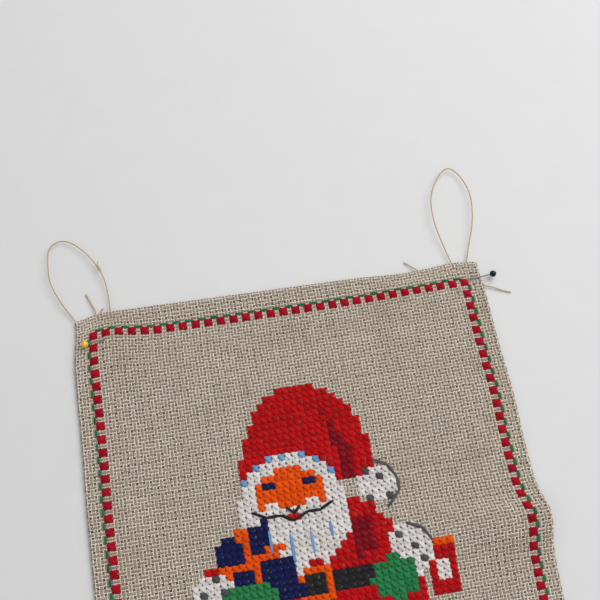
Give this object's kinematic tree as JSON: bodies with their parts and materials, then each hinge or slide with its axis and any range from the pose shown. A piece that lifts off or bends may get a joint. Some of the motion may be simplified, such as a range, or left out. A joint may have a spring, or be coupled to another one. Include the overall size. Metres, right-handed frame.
{
  "type": "cross-stitched wall hanging",
  "caption": "Flat rectangular wall hanging of coarse jute cloth with a turned hem, a cross-stitched winter figure, twine hanging loops at both top corners and two glass-headed pins",
  "frame": {"origin": "Middle of the back of the top hem, on the face that rests against a wall or table", "axes": "+Y from the panel towards its hanging loops, +Z out of the embroidered face, +X to the right seen from the front"},
  "size_m": [0.2307, 0.3397, 0.0063],
  "materials": {
    "thread_black": "black stranded thread",
    "thread_blue": "light blue stranded thread",
    "thread_grey": "grey stranded thread",
    "black_glass": "opaque black glass bead, glossy",
    "pin_steel": "nickel-plated steel wire",
    "thread_crimson": "crimson stranded thread",
    "thread_moss": "moss green stranded thread",
    "thread_dark_red": "dark red stranded thread",
    "thread_green": "green stranded thread",
    "thread_navy": "navy stranded thread",
    "thread_orange": "orange stranded thread",
    "thread_red": "bright red stranded thread",
    "thread_white": "white stranded thread",
    "sewing_thread": "ecru sewing thread",
    "twine": "pale waxed linen twine",
    "jute_cloth": "coarse unbleached jute canvas, matt",
    "yellow_glass": "opaque yellow glass bead, glossy"
  },
  "bodies": {
    "panel": {"backstitch_black": "thread_black", "backstitch_blue": "thread_blue", "backstitch_grey": "thread_grey", "border_crosses": "thread_crimson", "border_running_stitches": "thread_moss", "embroidery_black": "thread_black", "embroidery_blue": "thread_blue", "embroidery_dark_red": "thread_dark_red", "embroidery_green": "thread_green", "embroidery_grey": "thread_grey", "embroidery_navy": "thread_navy", "embroidery_orange": "thread_orange", "embroidery_red": "thread_red", "embroidery_white": "thread_white", "hem_stitches": "sewing_thread", "left_twine_tail": "twine", "panel_cloth": "jute_cloth", "red_thread_end": "thread_crimson", "right_twine_inner_tail": "twine", "right_twine_side_tail": "twine"},
    "left_loop": {"left_loop_twine": "twine", "left_loop_knot": "twine"},
    "right_loop": {"right_loop_twine": "twine"},
    "yellow_pin": {"yellow_pin_head": "yellow_glass", "yellow_pin_shaft": "pin_steel"},
    "black_pin": {"black_pin_head": "black_glass", "black_pin_shaft": "pin_steel"}
  },
  "joints": [
    {"name": "left_loop_swing", "type": "hinge", "parent": "panel", "child": "left_loop", "pos_m": [-0.0945, 0.0061, 0.00115], "axis": [1, 0, 0], "range_deg": [0, 90]},
    {"name": "right_loop_swing", "type": "hinge", "parent": "panel", "child": "right_loop", "pos_m": [0.0948, 0.0061, 0.00115], "axis": [1, 0, 0], "range_deg": [0, 90]},
    {"name": "yellow_pin_pull", "type": "slide", "parent": "panel", "child": "yellow_pin", "axis": [-0.9721, -0.154, 0.1771], "range_m": [0, 0.024]},
    {"name": "black_pin_pull", "type": "slide", "parent": "panel", "child": "black_pin", "axis": [0.993, 0.0799, 0.0872], "range_m": [0, 0.024]}
  ]
}
